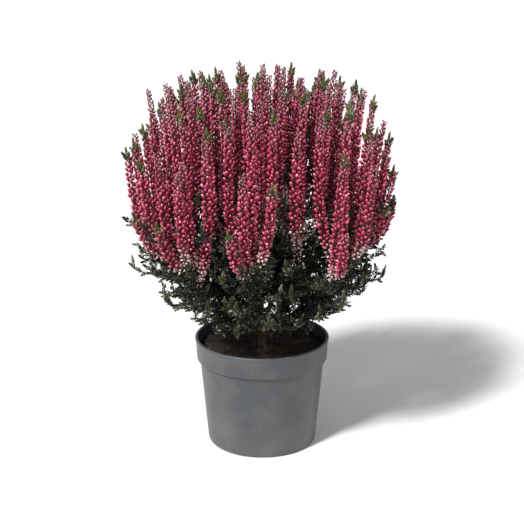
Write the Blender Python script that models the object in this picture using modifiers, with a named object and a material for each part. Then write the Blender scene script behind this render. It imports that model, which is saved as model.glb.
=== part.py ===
"""Potted heather: a bushy bud heather in a round plastic nursery pot.

The pot stands on z = 0 with its axis on Z. A woody crown stands in a plain hole in the soil and
fans out into limbs. Each limb carries one leafy shoot, and each shoot carries one spray of
bud-covered racemes. Every size is in metres.
"""
import math
import random

import bmesh
import bpy
import numpy as np
from mathutils import Vector

# Pot
POT_HEIGHT = 0.086
RIM_RADIUS = 0.0525
COLLAR_HEIGHT = 0.017
COLLAR_Z = POT_HEIGHT - COLLAR_HEIGHT
COLLAR_FOOT_RADIUS = 0.0512
BODY_TOP_RADIUS = 0.0488
BASE_RADIUS = 0.0425
BASE_ROUNDING = 0.0025
WALL = 0.0013
LIP_WIDTH = 0.0022
LIP_HEIGHT = 0.0016
LIP_EDGE = 0.0006
FLOOR_THICKNESS = 0.0022
FLOOR_FILLET = 0.004
POT_SIDES = 32
DRAIN_HOLES = 8
DRAIN_SIDES = 8
DRAIN_RADIUS = 0.0035
DRAIN_CIRCLE = 0.033
DRAIN_CUT = 0.02
GROOVE_DEPTH = 0.001
GROOVE_WIDTH = 0.005
GROOVE_LENGTH = 0.0135

# Soil
FIT_GAP = 0.0003
SOIL_TOP = POT_HEIGHT - 0.009
SOIL_EDGE = 0.0015
SOIL_LUMP = 0.0012
SOIL_LUMP_WAVES = (410, 370)
SOIL_RINGS = 2

# Woody crown
TRUNK_RADIUS = 0.0034
TRUNK_DEPTH = 0.020
TRUNK_SIDES = 8
KNOB_Z = 0.086
KNOB_RISE = 0.008
LIMB_RADIUS = 0.0019
LIMB_END_RADIUS = 0.0012
LIMB_FOOT = 0.001
LIMB_LENGTH = 0.030
LIMB_SIDES = 6
STRAIGHT_LIMBS = 0.4

# Outline of the plant: reaches are from the pot's axis, shares are of the plant's radius
SPRAYS = 23
SIDES_PER_SPRAY = 4
SPRAY_REACH = 0.094
SIDE_OFFSET = 0.0165
PLANT_RADIUS = 0.1080
TOP_RADIUS = 0.0975
PLANT_TOP = 0.300
SHOULDER_DROP = 0.046
SHOULDER_POWER = 3.6
TIP_SPACING = 0.0166
SPREADING_ROUNDS = 60
LEAN_MIDDLE = math.radians(3)
LEAN_EDGE = math.radians(15)
LEAN_JITTER = math.radians(2.5)
TURN_JITTER = math.radians(14)
FIRST_LEAN_MIDDLE = math.radians(8)
FIRST_LEAN_EDGE = math.radians(78)
BULGE_MIDDLE = 0.40
BULGE_EDGE = 0.64
STRAIGHT_MIDDLE = 0.46
STRAIGHT_EDGE = 0.40
GOLDEN_ANGLE = math.radians(137.508)
AXIS_STEPS = 40
SEED = 15

# Racemes
MAIN_LENGTHS = (0.096, 0.150)
MAIN_DROP = 0.006
FORK_RISE = 0.008
FORK_STEP = 0.004
SIDE_SPREAD = 0.75
SIDE_DROPS = (0.002, 0.014)
SIDE_DROP = 1.6
SIDE_BULGE = 55.0
SIDE_UPTURN = 60.0
SIDE_PULLS = (0.3, 0.45)

# Low racemes round the outside, two to an outer spray, like a skirt
SKIRT_FROM = 0.66
SKIRT_FORK = 0.002
SKIRT_HEIGHTS = (0.196, 0.232)
SKIRT_JITTER = 0.006
SKIRT_LEAN = math.radians(7)
SKIRT_LEAVE = 0.7
SKIRT_SPREAD = 0.20
SKIRT_RADII = (0.078, 0.108)
SKIRT_PULLS = (0.36, 0.42)

# Buds along a raceme
RACEME_CORE = 0.0028
RACEME_FOOT = 0.0014
BUD_STAND = 0.0034
BUD_LIFT = 0.0036
BUD_ROW = 0.0157
BUDS_AROUND = 2
TAPER_POWER = 4
CORE_TAPER = 0.75
BUD_TAPER = 0.3

# Leafy shoots and their side twigs
LEAVES_AROUND = 2
LEAF_ROW = 0.0115
LEAF_LIFT = 0.0045
SHOOT_CORE = 0.0016
SHOOT_STAND = 0.0040
TWIG_CORE = 0.0014
TWIG_STAND = 0.0044
TWIG_REACH = TWIG_CORE + TWIG_STAND
TWIG_ROW = 0.0105
TWIG_LENGTHS = (0.023, 0.031)
TWIG_EXTRA = 0.0124
TWIG_SWING = 1.5
TWIG_RISE = (0.25, 1.0)
TWIG_LEAVE = 0.2
TWIG_UPTURN = 0.42
TWIG_STEPS = 8
TWIG_FREE_FROM = 3
TWIG_ROOM = (0.2, 0.85)
TWIG_COUNTS = (3, 7)
TWIG_TRIES = 120
TWIG_CLEARANCE = 0.0007
RIM_CLEARANCE = 0.005
CROWD_STEPS = 24


def clear_scene():
    for obj in list(bpy.data.objects):
        bpy.data.objects.remove(obj)


def material(name, colour, roughness, metallic=0.0):
    made = bpy.data.materials.new(name)
    made.use_nodes = True
    shader = made.node_tree.nodes["Principled BSDF"]
    shader.inputs["Base Color"].default_value = (*colour, 1.0)
    shader.inputs["Roughness"].default_value = roughness
    shader.inputs["Metallic"].default_value = metallic
    return made


def collection(name, hidden=False):
    made = bpy.data.collections.new(name)
    bpy.context.scene.collection.children.link(made)
    made.hide_render = hidden
    return made


def link_mesh(name, mesh, group, finish=None):
    obj = bpy.data.objects.new(name, mesh)
    group.objects.link(obj)
    if finish:
        obj.data.materials.clear()
        obj.data.materials.append(finish)
    return obj


def mesh_of(bm, name):
    mesh = bpy.data.meshes.new(name)
    bm.to_mesh(mesh)
    bm.free()
    return mesh


# Plant layout: where every shoot and raceme runs

UP = Vector((0, 0, 1))


def bezier(p0, p1, p2, p3, steps=24):
    """Points along a cubic Bezier curve."""
    points = []
    for i in range(steps + 1):
        t = i / steps
        s = 1 - t
        points.append(p0 * s ** 3 + p1 * 3 * s * s * t + p2 * 3 * s * t * t + p3 * t ** 3)
    return points


def lengths_along(points):
    """Distance from the first point to each point."""
    run = [0.0]
    for a, b in zip(points, points[1:]):
        run.append(run[-1] + (b - a).length)
    return run


def point_at(points, distance):
    """The point that far along the line, and the line's direction there."""
    run = lengths_along(points)
    distance = min(max(distance, 0.0), run[-1])
    for i in range(len(points) - 1):
        if distance <= run[i + 1] or i == len(points) - 2:
            step = points[i + 1] - points[i]
            share = (distance - run[i]) / max(step.length, 1e-9)
            return points[i] + step * share, step.normalized()


def stretch(points, start, end, steps):
    """Evenly spaced points along part of a line."""
    return [point_at(points, start + (end - start) * i / steps)[0] for i in range(steps + 1)]


def between(first, last, share):
    """The value that lies this share of the way from the first to the last."""
    return first + (last - first) * share


def flat_way(turn):
    """The level direction at this angle round the pot."""
    return Vector((math.cos(turn), math.sin(turn), 0))


def dome_height(radius):
    """Height of the plant's top at this distance from its axis."""
    return PLANT_TOP - SHOULDER_DROP * (radius / PLANT_RADIUS) ** SHOULDER_POWER


def lean_at(tip, rng):
    """Direction of a raceme's tip: upright in the middle, leaning out at the edge."""
    share = min(tip.length / PLANT_RADIUS, 1.0)
    lean = between(LEAN_MIDDLE, LEAN_EDGE, share) + rng.uniform(-LEAN_JITTER, LEAN_JITTER)
    turn = math.atan2(tip.y, tip.x) + rng.uniform(-TURN_JITTER, TURN_JITTER)
    return flat_way(turn) * math.sin(lean) + UP * math.cos(lean)


def spread_tips(rng):
    """Where each raceme ends, seen from above: tips[spray] holds its main tip, then its sides."""
    tips = []
    for k in range(SPRAYS):
        reach = SPRAY_REACH * math.sqrt((k + 0.5) / SPRAYS)
        main = flat_way(k * GOLDEN_ANGLE).to_2d() * reach
        first = rng.uniform(0, math.tau)
        turns = [first + math.tau * j / SIDES_PER_SPRAY for j in range(SIDES_PER_SPRAY)]
        tips.append([main] + [main + flat_way(turn).to_2d() * SIDE_OFFSET for turn in turns])
    everyone = [tip for spray in tips for tip in spray]
    for _ in range(SPREADING_ROUNDS):
        for i, a in enumerate(everyone):
            for b in everyone[:i]:
                apart = a - b
                short = TIP_SPACING - apart.length
                if short > 0:
                    push = apart.normalized() * short * 0.5
                    a += push
                    b -= push
            if a.length > TOP_RADIUS:
                a *= TOP_RADIUS / a.length
    return tips


def main_axis(tip, share, outward, rng):
    """The line of a spray's limb, shoot and main raceme, from the crown to its tip."""
    top = Vector((tip.x, tip.y, dome_height(tip.length) - rng.uniform(0, MAIN_DROP)))
    root = Vector((0, 0, KNOB_Z + KNOB_RISE * (1 - share))) + outward * LIMB_FOOT
    first_lean = between(FIRST_LEAN_MIDDLE, FIRST_LEAN_EDGE, share)
    away = outward * math.sin(first_lean) + UP * math.cos(first_lean)
    span = (top - root).length
    bend = root + away * span * between(BULGE_MIDDLE, BULGE_EDGE, share)
    rise = top - lean_at(tip, rng) * span * between(STRAIGHT_MIDDLE, STRAIGHT_EDGE, share)
    return bezier(root, bend, rise, top, AXIS_STEPS)


def side_axis(main, tip, share, fork, along, rng):
    """The line of a side raceme. One that ends beyond the main one bulges out and stays lower."""
    beyond = max(0.0, tip.length - main.length) * share
    height = dome_height(tip.length) - rng.uniform(*SIDE_DROPS) - beyond * SIDE_DROP
    end = Vector((tip.x, tip.y, height))
    across = (tip - main).to_3d().normalized()
    leave = (along + across * (SIDE_SPREAD + beyond * SIDE_BULGE)).normalized()
    lean = (lean_at(tip, rng) + UP * beyond * SIDE_UPTURN).normalized()
    reach = (end - fork).length
    return bezier(fork, fork + leave * reach * SIDE_PULLS[0], end - lean * reach * SIDE_PULLS[1], end)


def turn_of(spray):
    """The angle round the pot's axis at which a spray stands."""
    return math.atan2(spray["outward"].y, spray["outward"].x)


def hang_skirt(plan, rng):
    """Low racemes round the outside: each outer spray has one more to its left and one to its right."""
    outer = [spray for spray in plan if spray["share"] > SKIRT_FROM]
    outer.sort(key=turn_of)
    turns = [turn_of(spray) for spray in outer]
    turns = [turns[-1] - math.tau] + turns + [turns[0] + math.tau]
    for i, spray in enumerate(outer):
        before, own, after = turns[i:i + 3]
        ends = [between(own, before, SKIRT_SPREAD), between(own, after, SKIRT_SPREAD)]
        for side, turn in enumerate(ends):
            height = SKIRT_HEIGHTS[side] + rng.uniform(-SKIRT_JITTER, SKIRT_JITTER)
            end = flat_way(turn) * between(*SKIRT_RADII, spray["share"]) + UP * height
            fork, along = point_at(spray["axis"], spray["red_from"] + SKIRT_FORK * (1 + side))
            reach = (end - fork).length
            across = end - fork
            across.z = 0
            leave = (along + across.normalized() * SKIRT_LEAVE).normalized()
            lean = flat_way(turn) * math.sin(SKIRT_LEAN) + UP * math.cos(SKIRT_LEAN)
            spray["skirt"].append(bezier(fork, fork + leave * reach * SKIRT_PULLS[0],
                                         end - lean * reach * SKIRT_PULLS[1], end))


def plan_plant():
    """One dictionary a spray: its main axis, where its flowers start, and its other racemes."""
    rng = random.Random(SEED)
    plan = []
    for tips in spread_tips(rng):
        main = tips[0]
        share = main.length / PLANT_RADIUS
        outward = flat_way(math.atan2(main.y, main.x))
        axis = main_axis(main, share, outward, rng)
        total = lengths_along(axis)[-1]
        red_from = total - between(*MAIN_LENGTHS, share)
        sides = []
        for j, tip in enumerate(tips[1:]):
            fork, along = point_at(axis, red_from + FORK_RISE + FORK_STEP * j)
            sides.append(side_axis(main, tip, share, fork, along, rng))
        plan.append({
            "axis": axis,
            "total": total,
            "red_from": red_from,
            "sides": sides,
            "skirt": [],
            "share": share,
            "outward": outward,
        })
    hang_skirt(plan, rng)
    return plan


def crowd_of(plan):
    """Points along every shoot and raceme, each with how far its leaves or buds stand out."""
    crowd = []
    for spray in plan:
        shoot = stretch(spray["axis"], 0.0, spray["red_from"], CROWD_STEPS)
        main = stretch(spray["axis"], spray["red_from"], spray["total"], CROWD_STEPS)
        crowd += [(*point, SHOOT_CORE + SHOOT_STAND) for point in shoot]
        for line in [main] + spray["sides"] + spray["skirt"]:
            crowd += [(*point, RACEME_CORE + BUD_STAND) for point in line]
    return np.array(crowd)


def gap_to(points, crowd):
    """Least gap between a twig's leaves and the rest of the plant."""
    gaps = [np.linalg.norm(crowd[:, :3] - np.array(point), axis=1) - crowd[:, 3] for point in points]
    return np.min(gaps) - TWIG_REACH


def draw_twig(spray, low, high, rng):
    """A twig that leaves the shoot somewhere between two distances along it and turns up."""
    start, along = point_at(spray["axis"], rng.uniform(low, high))
    turn = math.atan2(spray["outward"].y, spray["outward"].x) + rng.uniform(-TWIG_SWING, TWIG_SWING)
    rise = rng.uniform(*TWIG_RISE)
    length = rng.uniform(*TWIG_LENGTHS) + TWIG_EXTRA * spray["share"]
    out = flat_way(turn)
    end = start + (out * math.cos(rise) + UP * math.sin(rise)) * length
    leave = start + (along + out) * length * TWIG_LEAVE
    return bezier(start, leave, end - UP * length * TWIG_UPTURN, end, TWIG_STEPS)


def grow_twigs(plan, rng):
    """Gives each shoot leafy side twigs, each the clearest of its neighbours from several draws."""
    crowd = crowd_of(plan)
    for spray in plan:
        spray["twigs"] = []
        wanted = round(between(*TWIG_COUNTS, spray["share"]))
        step = (spray["red_from"] - LIMB_LENGTH) / wanted
        for j in range(wanted):
            low = LIMB_LENGTH + step * (j + TWIG_ROOM[0])
            high = LIMB_LENGTH + step * (j + TWIG_ROOM[1])
            best, best_gap = None, TWIG_CLEARANCE
            for _ in range(TWIG_TRIES):
                line = draw_twig(spray, low, high, rng)
                inside = line[-1].to_2d().length < PLANT_RADIUS - TWIG_REACH
                above = min(point.z for point in line) > POT_HEIGHT + RIM_CLEARANCE
                gap = gap_to(line[TWIG_FREE_FROM:], crowd)
                if inside and above and gap > best_gap:
                    best, best_gap = line, gap
            if best:
                spray["twigs"].append(best)
                crowd = np.vstack([crowd, [(*point, TWIG_REACH) for point in best]])
    return plan


# Shapes that grow along a line

def frames_along(points):
    """A direction and two cross directions at each point, turned as little as possible."""
    ways = []
    for i in range(len(points)):
        a = points[max(i - 1, 0)]
        b = points[min(i + 1, len(points) - 1)]
        ways.append((b - a).normalized())
    side = ways[0].orthogonal().normalized()
    frames = []
    for way in ways:
        side = (side - way * side.dot(way)).normalized()
        frames.append((way, side, way.cross(side)))
    return frames


def scaly_tube(points, radii, stands, lift, around):
    """A closed tube along the points. Every other corner of each ring stands out as a bud or leaf.

    A flat grid is rolled round the line: radii and stands give each ring's core radius and how
    far its buds stand out of it, and lift moves the standing corners along the line.
    """
    rings = len(points)
    corners = 2 * around
    frames = frames_along(points)
    bm = bmesh.new()
    bmesh.ops.create_grid(bm, x_segments=corners, y_segments=rings - 1, size=0.5)
    for vert in bm.verts:
        i = round((vert.co.x + 0.5) * corners)
        k = round((vert.co.y + 0.5) * (rings - 1))
        way, side, other = frames[k]
        angle = math.tau * i / corners
        vert.tag = (i + k) % 2 == 0
        radius = radii[k] + (stands[k] if vert.tag else 0.0)
        spoke = side * math.cos(angle) + other * math.sin(angle)
        vert.co = points[k] + spoke * radius
        if vert.tag and stands[k]:
            vert.co += way * lift
    for face in list(bm.faces):
        bmesh.utils.face_split(face, *[vert for vert in face.verts if not vert.tag])
    bmesh.ops.remove_doubles(bm, verts=bm.verts, dist=1e-5)
    bmesh.ops.holes_fill(bm, edges=[e for e in bm.edges if e.is_boundary], sides=0)
    bmesh.ops.triangulate(bm, faces=bm.faces)
    bmesh.ops.recalc_face_normals(bm, faces=bm.faces)
    return bm


def plain_tube(points, radii, sides):
    """A closed tube along the points with a radius at each."""
    curve = bpy.data.curves.new("tube", "CURVE")
    curve.dimensions = "3D"
    curve.bevel_depth = 1.0
    curve.bevel_resolution = (sides - 4) // 2
    curve.use_fill_caps = True
    spline = curve.splines.new("POLY")
    spline.points.add(len(points) - 1)
    for spot, place, radius in zip(spline.points, points, radii):
        spot.co = (*place, 1.0)
        spot.radius = radius
    guide = bpy.data.objects.new("tube", curve)
    bpy.context.scene.collection.objects.link(guide)
    mesh = bpy.data.meshes.new_from_object(guide.evaluated_get(bpy.context.evaluated_depsgraph_get()))
    bpy.data.objects.remove(guide)
    bm = bmesh.new()
    bm.from_mesh(mesh)
    bmesh.ops.remove_doubles(bm, verts=bm.verts, dist=1e-5)
    bmesh.ops.recalc_face_normals(bm, faces=bm.faces)
    return bm


def drop_scraps(mesh):
    """Keeps the largest body of a mesh and deletes loose scraps that a union left."""
    bm = bmesh.new()
    bm.from_mesh(mesh)
    left = set(bm.verts)
    bodies = []
    while left:
        body = [left.pop()]
        for vert in body:
            near = [edge.other_vert(vert) for edge in vert.link_edges]
            body += [other for other in near if other in left]
            left.difference_update(near)
        bodies.append(body)
    bodies.sort(key=len)
    for scrap in bodies[:-1]:
        bmesh.ops.delete(bm, geom=scrap, context="VERTS")
    bm.to_mesh(mesh)
    bm.free()


def grown_together(name, pieces, group, finish):
    """One solid: the first piece with the others joined to it by one Boolean union."""
    body = link_mesh(name, mesh_of(pieces[0], name), group, finish)
    if len(pieces) > 1:
        extra = collection(name + "_pieces")
        for i, piece in enumerate(pieces[1:]):
            link_mesh(f"{name}_piece_{i}", mesh_of(piece, name), extra)
        union = body.modifiers.new("union", "BOOLEAN")
        union.operation = "UNION"
        union.operand_type = "COLLECTION"
        union.collection = extra
        union.solver = "MANIFOLD"
        graph = bpy.context.evaluated_depsgraph_get()
        joined = bpy.data.meshes.new_from_object(body.evaluated_get(graph))
        body.modifiers.clear()
        body.data = joined
        drop_scraps(joined)
        for obj in list(extra.objects):
            bpy.data.objects.remove(obj)
        bpy.data.collections.remove(extra)
    body.data.shade_smooth()
    body.data.set_sharp_from_angle(angle=math.radians(40))
    return body


# Pot and soil

def turned(name, profile, sides, group, finish):
    """A profile in the XZ plane turned once round Z."""
    mesh = bpy.data.meshes.new(name)
    edges = [(i, i + 1) for i in range(len(profile) - 1)]
    mesh.from_pydata([(x, 0.0, z) for x, z in profile], edges, [])
    obj = link_mesh(name, mesh, group, finish)
    screw = obj.modifiers.new("turn", "SCREW")
    screw.axis = "Z"
    screw.steps = sides
    screw.render_steps = sides
    screw.use_merge_vertices = True
    screw.merge_threshold = 0.00005
    screw.use_smooth_shade = True
    return obj


def inner_radius(z):
    """Radius of the pot's inner wall at this height, below the collar."""
    return BASE_RADIUS + (BODY_TOP_RADIUS - BASE_RADIUS) * z / COLLAR_Z - WALL


def build_pot(parts, cutters, finish):
    """A thin-walled pot with a collar and a lip. Grooves under it lead to its drain holes."""
    inner_rim = RIM_RADIUS - LIP_WIDTH
    profile = [
        (0.0, FLOOR_THICKNESS),
        (inner_radius(FLOOR_THICKNESS) - WALL, FLOOR_THICKNESS),
        (inner_radius(FLOOR_THICKNESS + FLOOR_FILLET), FLOOR_THICKNESS + FLOOR_FILLET),
        (inner_radius(COLLAR_Z), COLLAR_Z - WALL),
        (COLLAR_FOOT_RADIUS - WALL, COLLAR_Z + WALL),
        (inner_rim, POT_HEIGHT - LIP_EDGE),
        (inner_rim + LIP_EDGE, POT_HEIGHT),
        (RIM_RADIUS - LIP_EDGE, POT_HEIGHT),
        (RIM_RADIUS, POT_HEIGHT - LIP_EDGE),
        (RIM_RADIUS, POT_HEIGHT - LIP_HEIGHT),
        (RIM_RADIUS - LIP_EDGE, POT_HEIGHT - LIP_HEIGHT - LIP_EDGE),
        (COLLAR_FOOT_RADIUS, COLLAR_Z),
        (BODY_TOP_RADIUS, COLLAR_Z),
        (BASE_RADIUS, BASE_ROUNDING),
        (BASE_RADIUS - BASE_ROUNDING, 0.0),
        (0.0, 0.0),
    ]
    pot = turned("pot", profile, POT_SIDES, parts, finish)
    for i in range(DRAIN_HOLES):
        turn = math.tau * (i + 0.5) / DRAIN_HOLES
        out = flat_way(turn)
        bpy.ops.mesh.primitive_cylinder_add(
            vertices=DRAIN_SIDES, radius=DRAIN_RADIUS, depth=DRAIN_CUT, location=out * DRAIN_CIRCLE)
        take_cutter(pot, f"drain_cutter_{i}", cutters)
        middle = out * (DRAIN_CIRCLE + GROOVE_LENGTH / 2)
        bpy.ops.mesh.primitive_cube_add(size=1.0, location=middle, rotation=(0, 0, turn))
        bpy.context.object.scale = (GROOVE_LENGTH, GROOVE_WIDTH, 2 * GROOVE_DEPTH)
        take_cutter(pot, f"groove_cutter_{i}", cutters)
    return pot


def take_cutter(body, name, cutters):
    """The object just added cuts the body and is hidden."""
    cutter = bpy.context.object
    cutter.name = name
    for group in list(cutter.users_collection):
        group.objects.unlink(cutter)
    cutters.objects.link(cutter)
    cutter.hide_render = True
    cutter.display_type = "WIRE"
    cut = body.modifiers.new(name, "BOOLEAN")
    cut.operation = "DIFFERENCE"
    cut.object = cutter
    cut.solver = "EXACT"


def build_soil(parts, finish):
    """The peat plug: a lumpy top, walls a hair inside the pot's, and a plain hole for the trunk."""
    hole = TRUNK_RADIUS + 2 * FIT_GAP
    edge = COLLAR_FOOT_RADIUS - WALL - 2 * FIT_GAP
    rings = [hole + (edge - SOIL_EDGE - hole) * i / SOIL_RINGS for i in range(SOIL_RINGS + 1)]
    bottom = FLOOR_THICKNESS + FIT_GAP
    profile = [(0.0, SOIL_TOP - TRUNK_DEPTH), (hole, SOIL_TOP - TRUNK_DEPTH)]
    profile += [(radius, SOIL_TOP) for radius in rings]
    profile += [
        (edge, SOIL_TOP - SOIL_EDGE),
        (edge, COLLAR_Z + 2 * WALL),
        (inner_radius(COLLAR_Z) - FIT_GAP, COLLAR_Z - WALL - FIT_GAP),
        (inner_radius(bottom + FLOOR_FILLET) - FIT_GAP, bottom + FLOOR_FILLET),
        (inner_radius(bottom) - WALL - FIT_GAP, bottom),
        (0.0, bottom),
    ]
    soil = turned("soil", profile, POT_SIDES, parts, finish)
    mesh = bpy.data.meshes.new_from_object(soil.evaluated_get(bpy.context.evaluated_depsgraph_get()))
    soil.modifiers.clear()
    soil.data = mesh
    for vert in mesh.vertices:
        x, y, z = vert.co
        if z > SOIL_TOP - FIT_GAP and math.hypot(x, y) > hole + FIT_GAP:
            vert.co.z += SOIL_LUMP * math.sin(x * SOIL_LUMP_WAVES[0]) * math.cos(y * SOIL_LUMP_WAVES[1])
    return soil


# Plant

def build_crown(plan, parts, finish):
    """The trunk in the soil, and the woody limbs that fan out from its top."""
    heights = [SOIL_TOP - TRUNK_DEPTH + FIT_GAP, KNOB_Z - TRUNK_RADIUS, KNOB_Z + KNOB_RISE]
    radii = [TRUNK_RADIUS, TRUNK_RADIUS, LIMB_RADIUS]
    pieces = [plain_tube([UP * z for z in heights], radii, TRUNK_SIDES)]
    for spray in plan:
        steps = 1 if spray["share"] < STRAIGHT_LIMBS else 2
        line = stretch(spray["axis"], 0.0, LIMB_LENGTH, steps)
        radii = [between(LIMB_RADIUS, LIMB_END_RADIUS, i / steps) for i in range(steps + 1)]
        pieces.append(plain_tube(line, radii, LIMB_SIDES))
    return grown_together("crown", pieces, parts, finish)


def build_shoot(number, spray, parts, finish):
    """The leafy shoot of a spray, from the limb's end to where its flowers start, with its twigs."""
    start = LIMB_LENGTH + FIT_GAP
    end = spray["red_from"] - FIT_GAP
    rows = round((end - start) / LEAF_ROW)
    line = stretch(spray["axis"], start, end, rows)
    stands = [0.0] + [SHOOT_STAND] * (rows - 2) + [0.0, 0.0]
    pieces = [scaly_tube(line, [SHOOT_CORE] * (rows + 1), stands, LEAF_LIFT, LEAVES_AROUND)]
    for twig in spray["twigs"]:
        length = lengths_along(twig)[-1]
        rows = round(length / TWIG_ROW)
        radii = [TWIG_CORE] * rows + [0.0]
        stands = [0.0] + [TWIG_STAND] * (rows - 1) + [0.0]
        pieces.append(scaly_tube(stretch(twig, 0.0, length, rows), radii, stands, LEAF_LIFT, LEAVES_AROUND))
    return grown_together(f"shoot_{number:02d}", pieces, parts, finish)


def raceme_tube(line, length):
    """A raceme along the end of a line: crossed pairs of buds which taper to its slim tip."""
    rows = round(length / BUD_ROW)
    total = lengths_along(line)[-1]
    fades = [(k / rows) ** TAPER_POWER for k in range(rows)]
    radii = [RACEME_CORE * (1 - CORE_TAPER * fade) for fade in fades] + [0.0]
    stands = [BUD_STAND * (1 - BUD_TAPER * fade) for fade in fades] + [0.0]
    radii[0] = RACEME_FOOT
    stands[0] = 0.0
    return scaly_tube(stretch(line, total - length, total, rows), radii, stands, BUD_LIFT, BUDS_AROUND)


def build_raceme(number, spray, parts, finish):
    """The flower head of a spray: the main raceme, with its side racemes grown out of it."""
    pieces = [raceme_tube(spray["axis"], spray["total"] - spray["red_from"])]
    for side in spray["sides"] + spray["skirt"]:
        pieces.append(raceme_tube(side, lengths_along(side)[-1]))
    return grown_together(f"raceme_{number:02d}", pieces, parts, finish)


def main():
    clear_scene()
    parts = collection("potted_heather")
    cutters = collection("cutters", hidden=True)
    pot_plastic = material("pot_plastic", (0.085, 0.09, 0.095), 0.5)
    peat = material("peat", (0.035, 0.022, 0.014), 0.95)
    bark = material("bark", (0.16, 0.095, 0.055), 0.85)
    leaf = material("leaf", (0.06, 0.115, 0.035), 0.6)
    bud = material("bud", (0.42, 0.04, 0.11), 0.5)
    plan = grow_twigs(plan_plant(), random.Random(SEED + 1))
    build_pot(parts, cutters, pot_plastic)
    build_soil(parts, peat)
    build_crown(plan, parts, bark)
    for number, spray in enumerate(plan, 1):
        build_shoot(number, spray, parts, leaf)
        build_raceme(number, spray, parts, bud)


main()
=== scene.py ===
# %% [markdown]
# # A potted heather
#
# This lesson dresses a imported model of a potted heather. The model holds the real sizes: a nursery
# pot, the soil in it, a woody crown, and sprays that each have a leafy shoot and a flower head. The
# lesson makes the fine surface that a camera sees, from thousands of small buds and leaves. Every
# length is in metres, and the pot stands on z = 0 with its axis on Z.

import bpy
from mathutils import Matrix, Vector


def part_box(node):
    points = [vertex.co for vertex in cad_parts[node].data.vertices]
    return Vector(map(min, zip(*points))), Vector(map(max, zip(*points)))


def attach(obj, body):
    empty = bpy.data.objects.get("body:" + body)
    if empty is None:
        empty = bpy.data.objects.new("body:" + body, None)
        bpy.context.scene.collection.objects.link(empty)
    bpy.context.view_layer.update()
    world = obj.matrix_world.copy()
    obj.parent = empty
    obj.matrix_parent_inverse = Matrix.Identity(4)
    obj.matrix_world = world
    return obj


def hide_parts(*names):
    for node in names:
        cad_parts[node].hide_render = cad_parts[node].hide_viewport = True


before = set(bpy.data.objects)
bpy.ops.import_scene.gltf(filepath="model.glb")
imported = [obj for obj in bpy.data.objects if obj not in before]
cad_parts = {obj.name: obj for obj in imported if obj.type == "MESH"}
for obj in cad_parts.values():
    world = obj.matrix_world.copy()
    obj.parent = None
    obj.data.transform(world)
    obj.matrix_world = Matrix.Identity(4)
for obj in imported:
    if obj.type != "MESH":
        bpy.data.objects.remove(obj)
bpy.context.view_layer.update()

# %% Blender's modules
import math
import random

import bmesh
import bpy
import numpy as np
from mathutils import Matrix, Vector, noise

UP = Vector((0, 0, 1))

# %% [markdown]
# ## Camera, floor and light
#
# The rim of the pot is seen as an ellipse about a third as high as it is wide, so the eye looks down
# on it by about twenty degrees. A camera a little under a metre away gives that, with the mild
# perspective of a product photograph. The floor is one large pale sheet.

# %% Camera
CAMERA_DISTANCE = 0.95
CAMERA_HEIGHT = 0.44
AIM_HEIGHT = 0.146
VIEW_ANGLE = math.radians(23.0)


def aim(obj, target):
    """Turns a camera or a light towards a point."""
    obj.rotation_euler = (Vector(target) - obj.location).to_track_quat("-Z", "Y").to_euler()


lens = bpy.data.cameras.new("camera")
lens.angle = VIEW_ANGLE
camera = bpy.data.objects.new("camera", lens)
bpy.context.scene.collection.objects.link(camera)
camera.location = (0, -CAMERA_DISTANCE, CAMERA_HEIGHT)
aim(camera, (0, 0, AIM_HEIGHT))
bpy.context.scene.camera = camera
print("camera looks down by", round(math.degrees(math.atan2(CAMERA_HEIGHT - AIM_HEIGHT, CAMERA_DISTANCE))), "degrees")

# %% [markdown]
# A heather is dense, so what makes it readable is the dark between its racemes. A sun from the upper
# left models every raceme. It is wider than the real one, so its shadows have soft edges. A weak lamp
# on the right keeps the shaded side from going black, and the world adds an even pale light, as white
# walls do.

# %% Lights and world
def soft_light(name, place, size, watts):
    """A round area light that faces the middle of the plant."""
    lamp = bpy.data.lights.new(name, "AREA")
    lamp.shape = "DISK"
    lamp.size = size
    lamp.energy = watts
    obj = bpy.data.objects.new(name, lamp)
    bpy.context.scene.collection.objects.link(obj)
    obj.location = place
    aim(obj, (0, 0, AIM_HEIGHT))


sun = bpy.data.lights.new("key_light", "SUN")
sun.energy = 4.2
sun.angle = math.radians(9)
key = bpy.data.objects.new("key_light", sun)
bpy.context.scene.collection.objects.link(key)
key.location = (-0.9, -1.1, 1.6)
aim(key, (0, 0, AIM_HEIGHT))
soft_light("fill_light", (1.3, -0.9, 0.7), 1.2, 3)

world = bpy.data.worlds.new("studio")
world.use_nodes = True
world.node_tree.nodes["Background"].inputs["Color"].default_value = (0.96, 0.98, 1.0, 1.0)
world.node_tree.nodes["Background"].inputs["Strength"].default_value = 0.40
bpy.context.scene.world = world
bpy.context.scene.view_settings.view_transform = "Standard"

# %% [markdown]
# ## Finishes from nodes
#
# Every finish here is built from nodes, so it has no picture to stretch or tile. Three small helpers
# keep that short: one adds a node with its values and links, one turns a number into a band of
# colours, and one mixes two colours.

# %% Node helpers
def new_finish(name, roughness):
    """A material, its node tree and its shader."""
    finish = bpy.data.materials.new(name)
    finish.use_nodes = True
    shader = finish.node_tree.nodes["Principled BSDF"]
    shader.inputs["Roughness"].default_value = roughness
    return finish, finish.node_tree, shader


def add(tree, kind, feeds=None, **values):
    """A node with its input values set, and the inputs named in feeds linked to other nodes."""
    made = tree.nodes.new("ShaderNode" + kind)
    for name, value in values.items():
        made.inputs[name].default_value = value
    for name, socket in (feeds or {}).items():
        tree.links.new(socket, made.inputs[name])
    return made


def band(tree, source, *stops):
    """A colour for each value of the source, through stops of (value, colour)."""
    made = add(tree, "ValToRGB", {"Fac": source})
    elements = made.color_ramp.elements
    elements[0].position = stops[0][0]
    elements[1].position = stops[-1][0]
    for place, _ in stops[1:-1]:
        elements.new(place)
    for element, (_, colour) in zip(elements, stops):
        element.color = (*colour, 1.0)
    return made.outputs["Color"]


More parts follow.
